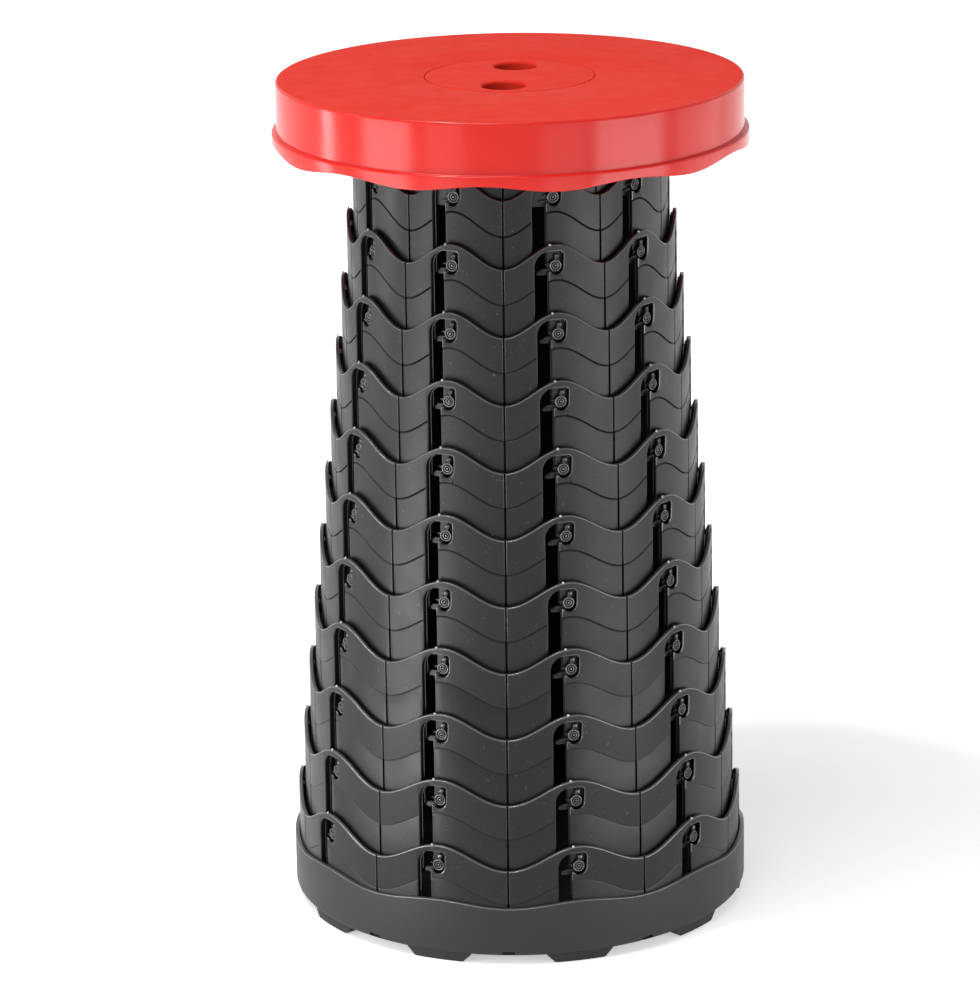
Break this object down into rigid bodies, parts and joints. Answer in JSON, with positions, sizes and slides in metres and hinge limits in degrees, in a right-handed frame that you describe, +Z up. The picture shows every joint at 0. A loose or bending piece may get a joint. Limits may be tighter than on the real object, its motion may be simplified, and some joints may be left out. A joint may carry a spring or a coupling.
{
  "type": "collapsible telescopic stool",
  "caption": "Round telescopic stool: nested wavy-edged rings with bayonet lugs and slots, a red cap with a finger-hole plug, and a footed tray; slides down flat.",
  "frame": {"origin": "on the floor under the middle of the base", "axes": "+Z up along the axis that the rings slide on, -Y to the front"},
  "size_m": [0.2508, 0.2508, 0.45],
  "materials": {
    "red_gloss": "gloss",
    "red_satin": "satin",
    "ring_black": "satin",
    "tray_black": "satin",
    "pad_rubber": "matte"
  },
  "bodies": {
    "base": {"base_tray": "tray_black", "foot_01": "pad_rubber", "foot_02": "pad_rubber", "foot_03": "pad_rubber", "foot_04": "pad_rubber", "foot_05": "pad_rubber", "foot_06": "pad_rubber", "foot_07": "pad_rubber", "foot_08": "pad_rubber", "foot_09": "pad_rubber", "foot_10": "pad_rubber", "ring_12": "ring_black"},
    "section_11": {"ring_11": "ring_black"},
    "section_10": {"ring_10": "ring_black"},
    "section_09": {"ring_09": "ring_black"},
    "section_08": {"ring_08": "ring_black"},
    "section_07": {"ring_07": "ring_black"},
    "section_06": {"ring_06": "ring_black"},
    "section_05": {"ring_05": "ring_black"},
    "section_04": {"ring_04": "ring_black"},
    "section_03": {"ring_03": "ring_black"},
    "section_02": {"ring_02": "ring_black"},
    "section_01": {"ring_01": "ring_black", "seat_cap": "red_gloss", "seat_insert": "red_satin"}
  },
  "joints": [
    {"name": "slide_11", "type": "slide", "parent": "base", "child": "section_11", "axis": [0, 0, 1], "range_m": [-0.035, 0]},
    {"name": "slide_10", "type": "slide", "parent": "section_11", "child": "section_10", "axis": [0, 0, 1], "range_m": [-0.035, 0]},
    {"name": "slide_09", "type": "slide", "parent": "section_10", "child": "section_09", "axis": [0, 0, 1], "range_m": [-0.035, 0]},
    {"name": "slide_08", "type": "slide", "parent": "section_09", "child": "section_08", "axis": [0, 0, 1], "range_m": [-0.035, 0]},
    {"name": "slide_07", "type": "slide", "parent": "section_08", "child": "section_07", "axis": [0, 0, 1], "range_m": [-0.035, 0]},
    {"name": "slide_06", "type": "slide", "parent": "section_07", "child": "section_06", "axis": [0, 0, 1], "range_m": [-0.035, 0]},
    {"name": "slide_05", "type": "slide", "parent": "section_06", "child": "section_05", "axis": [0, 0, 1], "range_m": [-0.035, 0]},
    {"name": "slide_04", "type": "slide", "parent": "section_05", "child": "section_04", "axis": [0, 0, 1], "range_m": [-0.035, 0]},
    {"name": "slide_03", "type": "slide", "parent": "section_04", "child": "section_03", "axis": [0, 0, 1], "range_m": [-0.035, 0]},
    {"name": "slide_02", "type": "slide", "parent": "section_03", "child": "section_02", "axis": [0, 0, 1], "range_m": [-0.035, 0]},
    {"name": "slide_01", "type": "slide", "parent": "section_02", "child": "section_01", "axis": [0, 0, 1], "range_m": [-0.0299, 0]}
  ]
}
